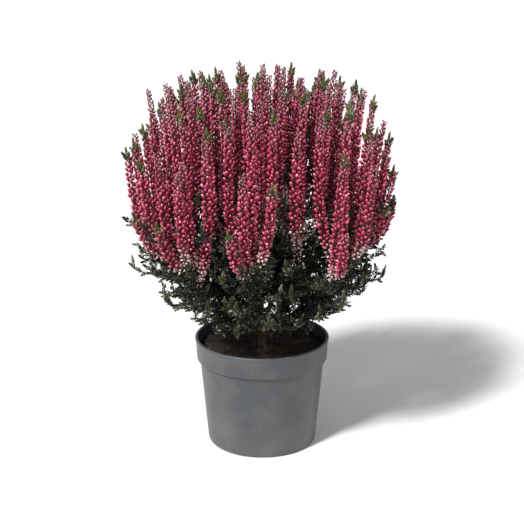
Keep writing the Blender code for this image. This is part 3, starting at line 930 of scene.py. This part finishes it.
thicket_rng = random.Random(SEED + 2)
for spray in plan:
    spray["thicket"] = grow_thicket(spray, thicket_rng)
print("thicket:", sum(len(spray["thicket"]) for spray in plan), "thin twigs")

# %% [markdown]
# ## The woody crown
#
# Old heather wood is thin, brown and knobbly, with bark that flakes in narrow strips. Tubes give the
# trunk and limbs, and a voxel remesh melts them into one body, as wood that grew together is. A
# little noise then makes it knobbly.

# %% Trunk and limbs
CROWN_VOXEL = 0.00070
LIMB_RADII = (0.0019, 0.0012)

trunk = [UP * z for z in (SOIL_TOP - TRUNK_DEPTH + FIT_GAP, SOIL_TOP, KNOB_Z - TRUNK_RADIUS, KNOB_Z + KNOB_RISE)]
wood = [tube(trunk, [TRUNK_RADIUS, TRUNK_RADIUS, TRUNK_RADIUS, LIMB_RADII[0]], 12)]
for spray in plan:
    limb = stretch(spray["axis"], 0.0, LIMB_LENGTH, 8)
    wood.append(tube(limb, np.linspace(*LIMB_RADII, 9), 10))
points, faces, _ = joined(wood)
mesh = bpy.data.meshes.new("crown_wood")
mesh.from_pydata(points, [], faces)
crown = link("crown_wood", mesh)
melt = crown.modifiers.new("melt", "REMESH")
melt.mode = "VOXEL"
melt.voxel_size = CROWN_VOXEL
calm = crown.modifiers.new("calm", "SMOOTH")
calm.iterations = 2
graph = bpy.context.evaluated_depsgraph_get()
crown.data = bpy.data.meshes.new_from_object(crown.evaluated_get(graph))
crown.modifiers.clear()
normals = [vert.normal.copy() for vert in crown.data.vertices]
for vert, normal in zip(crown.data.vertices, normals):
    vert.co += normal * 0.00035 * (noise.noise(vert.co * 260) + 0.6 * noise.noise(vert.co * 700))
crown.data.shade_smooth()
print("crown:", len(crown.data.polygons), "faces")

# %% Flaking bark
bark, tree, shader = new_finish("flaking_bark", 0.85)
place = add(tree, "TexCoord").outputs["Object"]
drawn_out = add(tree, "Mapping", {"Vector": place}, Scale=(900, 900, 160)).outputs["Vector"]
strips = add(tree, "TexNoise", {"Vector": drawn_out}, Scale=1.0, Detail=4.0).outputs["Fac"]
brown = band(tree, strips, (0.35, (0.030, 0.017, 0.010)), (0.55, (0.110, 0.066, 0.040)), (0.70, (0.230, 0.155, 0.105)))
tree.links.new(brown, shader.inputs["Base Color"])
raised(tree, shader, strips, 0.0003)
crown.data.materials.append(bark)
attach(crown, "root")
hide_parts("crown")

# %% [markdown]
# ## Leaves
#
# A heather leaf is a tiny keeled scale, two or three millimetres long. Leaves sit in crossed pairs,
# so a shoot seen from its end is a neat cross. Modelled as six triangles, a leaf still catches
# light on its keel, and thousands of them stay light enough to render. A sprig is the short leafy
# shoot that grows in a leaf's corner. It is built from leaves once and then copied as a shape.

# %% A leaf and a sprig
KEEL_TURN = math.radians(90)


def leaf_shape():
    """A keeled scale leaf. Its keel faces Y, and its tip leans back in."""
    bm = bmesh.new()
    bmesh.ops.create_uvsphere(bm, u_segments=3, v_segments=2, radius=0.5)
    for vert in bm.verts:
        if abs(vert.co.z) < 0.1:
            turn = math.atan2(vert.co.y, vert.co.x) + KEEL_TURN
            vert.co = (0.58 * math.cos(turn), 0.38 * math.sin(turn), 0.36)
        else:
            vert.co = (0, -0.25 if vert.co.z > 0 else 0, vert.co.z + 0.5)
    return shape_from(bm)


def sprig_shape(pairs, leaf_length, leaf_width, spreads):
    """A short leafy shoot: crossed pairs of leaves which close towards its tip."""
    order = np.arange(2 * pairs) // 2
    turns = order * math.pi / 2 + (np.arange(2 * pairs) % 2) * math.pi
    fade = order / (pairs - 1)
    tilts = spreads[0] + (spreads[1] - spreads[0]) * fade
    seats = round_stem([(0, 0, 0), (0, 0, 1)], 0.02 + (0.96 - leaf_length) * fade, turns, tilts, 0.02)
    chance = (order * 0.37) % 0.25
    made = copies(leaf, *seats, leaf_length * (1 - 0.25 * fade), leaf_width, chance, fade)
    return made[0], made[1], made[2][:, [0, 2]]


leaf = leaf_shape()
sprig = sprig_shape(8, 0.34, 0.13, (0.85, 0.15))
small_sprig = sprig_shape(5, 0.44, 0.17, (0.80, 0.20))
print("leaf:", len(leaf[1]), "triangles; sprig:", len(sprig[1]), "and", len(small_sprig[1]))

# %% [markdown]
# A leafy stem has its own pairs of leaves, with sprigs spiralling up it at the golden angle. Low in
# the plant the foliage is old and darker, and it is painted darker still, down to nearly black, as
# the shade deep inside the plant. One leaf in eight gets a painted pale glint, a leaf that catches
# the light. Each copy's second mark says how young it is and how far out of that inner shade it
# stands, and the finish turns that into colour and painted shade.

# %% Leafy stems
leaf_rng = np.random.default_rng(11)


def leaves_on(line, start, end, step, length, tilt, age_and_shade, stand):
    """Crossed pairs of leaves along part of a line."""
    spots = np.repeat(np.arange(start, end, step), 2)
    count = len(spots)
    order = np.arange(count)
    turns = (order // 2) * math.pi / 2 + (order % 2) * math.pi + leaf_rng.normal(0, 0.15, count)
    tilts = tilt + leaf_rng.normal(0, 0.12, count)
    lengths = length * leaf_rng.uniform(0.8, 1.2, count)
    seats = round_stem(line, spots, turns, tilts, stand)
    return copies(leaf, *seats, lengths, lengths * 0.36, leaf_rng.uniform(0, 1, count), age_and_shade)


def sprigs_on(line, start, end, step, lengths, tilts, ages_and_shade, shape):
    """Sprigs that spiral up part of a line."""
    spots = np.arange(start, end, step)
    count = len(spots)
    turns = np.arange(count) * GOLDEN_ANGLE + leaf_rng.uniform(0, math.tau)
    seats = round_stem(line, spots, turns, leaf_rng.uniform(*tilts, count), 0.0003)
    size = leaf_rng.uniform(*lengths, count)
    age_and_shade = np.linspace(*ages_and_shade, count) + leaf_rng.uniform(-0.08, 0.08, count)
    return copies(shape, *seats, size, size, leaf_rng.uniform(0, 1, count), np.clip(age_and_shade, 0, 1))


def shoot_parts(spray):
    """The stem of a shoot below its flowers, its leaves and sprigs, and its leafy twigs."""
    axis = spray["axis"]
    end = spray["red_from"]
    bare = stretch(axis, LIMB_LENGTH - 0.002, end, 16)
    parts = [tube(bare, np.linspace(0.0012, 0.0008, 17), 6, 0.1, 0.1)]
    # The age each call gives its leaves also sets their painted shade: the thicket and the main shoot get the darkest,
    # the leafy twigs a lighter one.
    parts.append(leaves_on(axis, LIMB_LENGTH, end, 0.0013, 0.0028, 0.75, 0.15, 0.0009))
    parts.append(sprigs_on(axis, LIMB_LENGTH + 0.004, end, 0.0026, (0.008, 0.015), (0.55, 1.1), (0.05, 0.5), sprig))
    for twig in spray["twigs"]:
        total = lengths_along(twig)[-1]
        parts.append(tube(twig, np.linspace(0.0006, 0.0003, len(twig)), 5, 0.1, 0.3))
        parts.append(leaves_on(twig, 0.002, total, 0.0011, 0.0028, 0.6, 0.45, 0.0004))
        parts.append(sprigs_on(twig, 0.004, total - 0.003, 0.0036, (0.005, 0.008), (0.5, 0.9), (0.3, 0.7), small_sprig))
        parts.append(sprigs_on(twig, total - 0.001, total, 0.002, (0.006, 0.008), (0.0, 0.1), (0.7, 0.8), sprig))
    for twig in spray["thicket"]:
        total = lengths_along(twig)[-1]
        parts.append(tube(twig, np.linspace(0.0006, 0.0003, len(twig)), 4, 0.1, 0.1))
        parts.append(leaves_on(twig, 0.002, total, 0.0016, 0.0030, 0.7, 0.12, 0.0004))
        parts.append(sprigs_on(twig, 0.003, total, 0.0042, (0.006, 0.011), (0.4, 1.0), (0.05, 0.4), small_sprig))
    for line in spray["skirt"]:
        green_end = lengths_along(line)[-1] * SKIRT_GREEN
        parts.append(leaves_on(line, 0.0, green_end, 0.0012, 0.0028, 0.7, 0.3, 0.0006))
        parts.append(sprigs_on(line, 0.0, green_end, 0.0022, (0.006, 0.011), (0.5, 1.0), (0.2, 0.5), small_sprig))
    return parts


# %% Scale-leaf green
green, tree, shader = new_finish("scale_leaf", 0.5)
chance, along, share = marks_of(tree)
# Painted shade: the green runs from olive on young outer tips to nearly black on low, inner leaves. It is partly the
# leaves' real age and partly painted shade inside the plant.
age_and_painted_shade = band(tree, along, (0.0, (0.0045, 0.0055, 0.0022)), (0.35, (0.012, 0.016, 0.0055)),
             (0.70, (0.042, 0.055, 0.013)), (1.0, (0.095, 0.112, 0.020)))
tipped = mixed(tree, share, (0.75, 0.75, 0.75), (1.55, 1.45, 1.25))
toned = mixed(tree, 1.0, age_and_painted_shade, tipped, "MULTIPLY")
varied = band(tree, chance, (0.0, (0.45, 0.42, 0.42)), (0.5, (1.0, 1.0, 1.0)), (0.84, (1.25, 1.25, 1.15)))
# Painted highlight: one leaf in eight gets a pale grey-green glint added to its colour, as a leaf catching the light.
glint = band(tree, chance, (0.88, (0, 0, 0)), (1.0, (0.300, 0.300, 0.260)))
patchy = mixed(tree, 1.0, toned, varied, "MULTIPLY")
tree.links.new(mixed(tree, 1.0, patchy, glint, "ADD"), shader.inputs["Base Color"])

# %% [markdown]
# ## Buds
#
# The flowers of a bud heather never open. Each is a pointed oval of coloured sepals that wrap round
# each other. Six sides in two rings are enough for that, with the upper ring turned a little against
# the lower one. Deep inside the plant a plainer bud with one ring of four corners takes its place.

# %% A bud
def bud_shape():
    """A closed bud along Z: a round foot and a pointed tip, with the upper corners turned a little."""
    rings = {-1: (0.30, 0.50, 0.0), 1: (0.70, 0.38, 0.35)}
    bm = bmesh.new()
    bmesh.ops.create_uvsphere(bm, u_segments=6, v_segments=3, radius=1.0)
    for vert in bm.verts:
        if abs(vert.co.z) > 0.9:
            vert.co = (0, 0, 1.0 if vert.co.z > 0 else 0.0)
            continue
        height, radius, twist = rings[1 if vert.co.z > 0 else -1]
        turn = math.atan2(vert.co.y, vert.co.x) + twist
        vert.co = (radius * math.cos(turn), radius * math.sin(turn), height)
    return shape_from(bm)


def plain_bud_shape():
    """The same bud with one ring of corners, for the inside of the plant."""
    bm = bmesh.new()
    bmesh.ops.create_uvsphere(bm, u_segments=4, v_segments=2, radius=0.5)
    for vert in bm.verts:
        vert.co.z = {-1: 0.0, 0: 0.42, 1: 1.0}[round(vert.co.z * 2)]
    return shape_from(bm)


bud = bud_shape()
plain_bud = plain_bud_shape()
print("bud:", len(bud[1]), "triangles, or", len(plain_bud[1]), "inside the plant")

# %% [markdown]
# A raceme carries a bud every fraction of a millimetre, in a spiral, and they point up and out. They
# are full-sized over most of it and smaller at both ends. A green bract shows here and there
# between them. More than half of the racemes end in a tuft of young leaves, which stands above the
# flowers.

# %% Racemes
BUD_STEP = 0.00062
BUD_LENGTH = 0.0042
BUD_WIDTH = 0.0024
BUD_TILTS = (1.15, 0.45)
TUFT_SHARE = 0.6
TUFT_LENGTH = 0.012
PLAIN_DEPTH = 0.036
bud_rng = np.random.default_rng(23)


def bud_size(share):
    """Size of a bud, from its share of the way up its raceme."""
    return np.interp(share, (0, 0.12, 0.3, 0.75, 1.0), (0.62, 0.85, 1.0, 0.95, 0.55))


def depth_of(places):
    """How far inside the plant's dome each place lies."""
    reach = np.hypot(places[:, 0], places[:, 1])
    tops = PLANT_TOP - SHOULDER_DROP * (reach / PLANT_RADIUS) ** SHOULDER_POWER
    return np.minimum(PLANT_RADIUS - reach, tops - places[:, 2])


def raceme_parts(line, start, end):
    """Buds of one raceme, and the green parts that go with it."""
    tuft = bud_rng.uniform() < TUFT_SHARE
    top = end - (TUFT_LENGTH * 0.6 if tuft else 0.001)
    spots = np.arange(start + 0.002, top, BUD_STEP)
    count = len(spots)
    share = (spots - start) / (end - start)
    turns = np.arange(count) * GOLDEN_ANGLE + bud_rng.normal(0, 0.25, count)
    tilts = np.interp(share, (0, 1), BUD_TILTS) + bud_rng.normal(0, 0.16, count)
    size = bud_size(share) * bud_rng.uniform(0.86, 1.12, count)
    stand = 0.0006 + 0.0007 * bud_size(share)
    places, ways, outs = round_stem(line, spots, turns, tilts, stand)
    spun = outs + bud_rng.normal(0, 1.0, outs.shape)
    chance = bud_rng.uniform(0, 1, count)
    deep = depth_of(places) > PLAIN_DEPTH
    buds = []
    for shape, chosen in ((bud, ~deep), (plain_bud, deep)):
        if chosen.any():
            buds.append(copies(shape, places[chosen], ways[chosen], spun[chosen], BUD_LENGTH * size[chosen],
                               BUD_WIDTH * size[chosen], chance[chosen], share[chosen]))
    stem = stretch(line, start, end, 12)
    greens = [tube(stem, np.linspace(0.0007, 0.0003, 13), 5, 0.2, 0.3)]
    bracts = round_stem(line, spots[::3] + 0.0004, turns[::3] + 0.5, tilts[::3] + 0.1, 0.0012)
    greens.append(copies(leaf, *bracts, 0.0034 * size[::3], 0.0012, bud_rng.uniform(0, 1, len(spots[::3])), 0.55))
    if tuft:
        greens += tuft_parts(line, end)
    return buds, greens


def tuft_parts(line, end):
    """Young leaves at a raceme's tip: one upright sprig with smaller ones round its foot."""
    low = end - TUFT_LENGTH * bud_rng.uniform(0.8, 1.1)
    middle = copies(sprig, *round_stem(line, [low], [0], [0.05], 0.0), TUFT_LENGTH * 1.15, TUFT_LENGTH * 0.9,
                    bud_rng.uniform(0, 1, 1), 0.85)
    count = 5
    turns = np.arange(count) * math.tau / count + bud_rng.uniform(0, math.tau)
    spots = low + bud_rng.uniform(-0.002, 0.003, count)
    ring = round_stem(line, spots, turns, bud_rng.uniform(0.3, 0.6, count), 0.0006)
    size = TUFT_LENGTH * bud_rng.uniform(0.55, 0.8, count)
    return [middle, copies(small_sprig, *ring, size, size, bud_rng.uniform(0, 1, count), 0.8)]


# %% [markdown]
# From a step away the racemes read as crimson with pale lights. Three things make that: each bud
# runs from nearly black wine red at its foot through crimson to a pale pink point, every bud differs
# a little from its neighbours, and the lowest buds of a raceme are whitish, since they grew in the
# shade. The dark foot is partly the sepals' deeper colour and partly painted shade where the buds
# crowd each other. The pale point is partly the paler sepal tips and partly a painted highlight.

# %% Bud red
red, tree, shader = new_finish("closed_buds", 0.5)
chance, along, share = marks_of(tree)
# Painted shade and highlight: along each bud the colour runs from a nearly black foot, painted shade between crowded
# buds, to a pale pink point that is partly a painted highlight.
body = band(tree, share, (0.0, (0.030, 0.002, 0.006)), (0.30, (0.230, 0.008, 0.030)),
            (0.68, (0.470, 0.022, 0.078)), (1.0, (0.650, 0.180, 0.250)))
varied = band(tree, chance, (0.0, (0.32, 0.28, 0.30)), (0.30, (0.80, 0.70, 0.75)),
              (0.70, (1.10, 1.10, 1.10)), (0.88, (1.25, 1.90, 1.75)), (1.0, (1.45, 4.20, 3.30)))
crimson = mixed(tree, 1.0, body, varied, "MULTIPLY")
# The whitish low buds and the dusky top buds keep the same painted dark foot and paler point.
shaded = band(tree, share, (0.0, (0.16, 0.13, 0.07)), (0.5, (0.52, 0.36, 0.33)), (1.0, (0.82, 0.70, 0.66)))
low = band(tree, along, (0.03, (1, 1, 1)), (0.24, (0, 0, 0)))
dusky = band(tree, share, (0.0, (0.05, 0.03, 0.02)), (0.5, (0.26, 0.08, 0.11)), (1.0, (0.52, 0.33, 0.36)))
high = band(tree, along, (0.74, (0, 0, 0)), (1.0, (0.75, 0.75, 0.75)))
colour = mixed(tree, high, mixed(tree, low, crimson, shaded), dusky)
tree.links.new(colour, shader.inputs["Base Color"])

# %% Grow every spray
triangles = 0
for number, spray in enumerate(plan, 1):
    stems = [(spray["axis"], spray["red_from"], spray["total"])]
    stems += [(side, 0.0, lengths_along(side)[-1]) for side in spray["sides"]]
    stems += [(line, lengths_along(line)[-1] * SKIRT_GREEN, lengths_along(line)[-1]) for line in spray["skirt"]]
    buds = []
    greens = shoot_parts(spray)
    for line, start, end in stems:
        red_parts, green_parts = raceme_parts(line, start, end)
        buds += red_parts
        greens += green_parts
    flowers = piece_from(f"buds_{number:02d}", buds, red, "bud", f"raceme_{number:02d}")
    leaves = piece_from(f"leaves_{number:02d}", greens, green, "leaf", f"shoot_{number:02d}")
    triangles += len(flowers.data.polygons) + len(leaves.data.polygons)
print("sprays:", len(plan), "with", triangles, "triangles")
